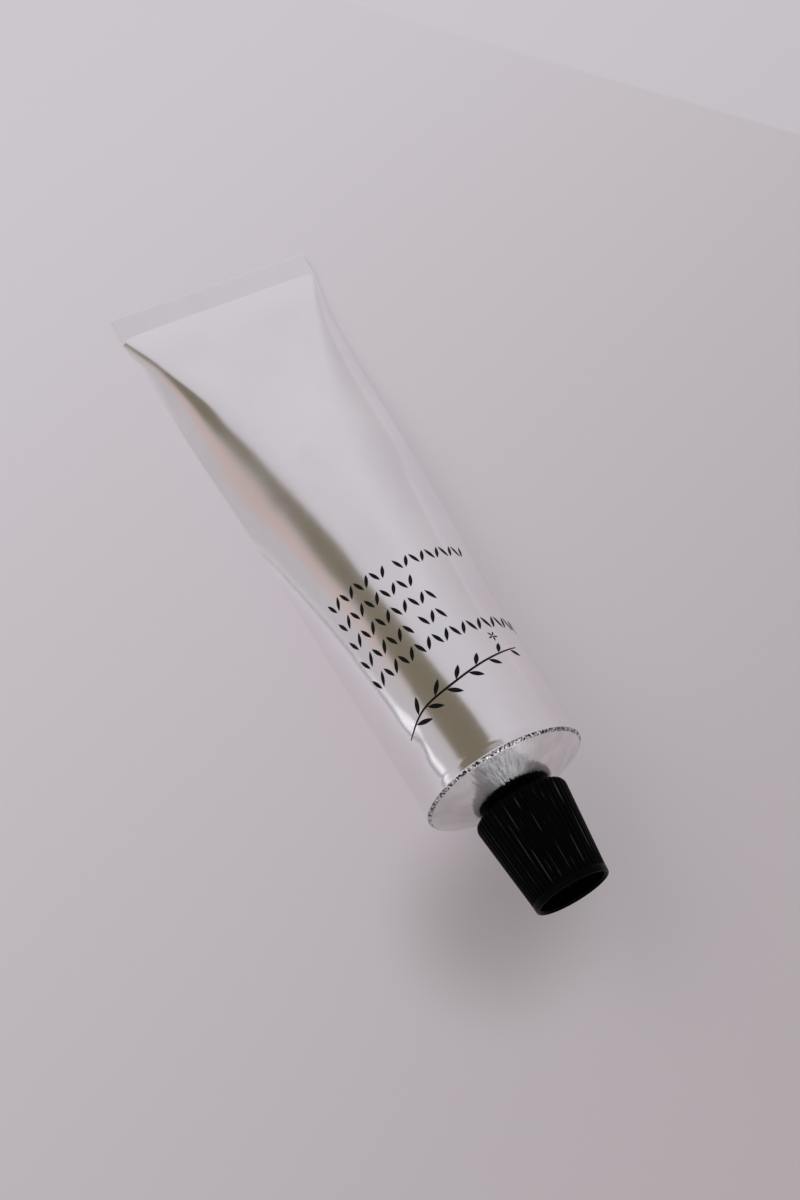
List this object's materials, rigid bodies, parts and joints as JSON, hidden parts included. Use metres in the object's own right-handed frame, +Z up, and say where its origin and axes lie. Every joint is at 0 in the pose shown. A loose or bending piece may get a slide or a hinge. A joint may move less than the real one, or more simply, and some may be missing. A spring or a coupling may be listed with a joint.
{
  "type": "hand cream tube",
  "caption": "Soft metal tube that tapers from a round shoulder to a flat folded end, closed by a fluted conical screw cap with a piercing spike in its end.",
  "frame": {"origin": "middle of the lying tube's bounding box, on the surface that it lies on", "axes": "+X from the folded end to the cap, +Z up from the surface, +Y across the fold"},
  "size_m": [0.1378, 0.0408, 0.025],
  "materials": {
    "tube_aluminium": "bare satin aluminium with fine lengthwise grain and shallow dents",
    "cap_plastic": "black moulded plastic with fine ribs",
    "wad_foam": "white closed-cell foam",
    "black_ink": "black printing ink"
  },
  "bodies": {
    "tube": {"tube": "tube_aluminium"},
    "sealing_wad": {"sealing_wad": "wad_foam"},
    "cap": {"cap": "cap_plastic"}
  },
  "joints": [
    {"name": "cap_lift", "type": "slide", "parent": "tube", "child": "sealing_wad", "axis": [0.9948, 0, 0.1016], "range_m": [0, 0.0066]},
    {"name": "cap_turn", "type": "hinge", "parent": "sealing_wad", "child": "cap", "pos_m": [0.05049, 0, 0.01244], "axis": [0.9948, 0, 0.1016], "range_deg": [0, 1080]}
  ],
  "couplings": [
    {"joint": "cap_turn", "follows": "cap_lift", "rad_per_m": 2856}
  ]
}
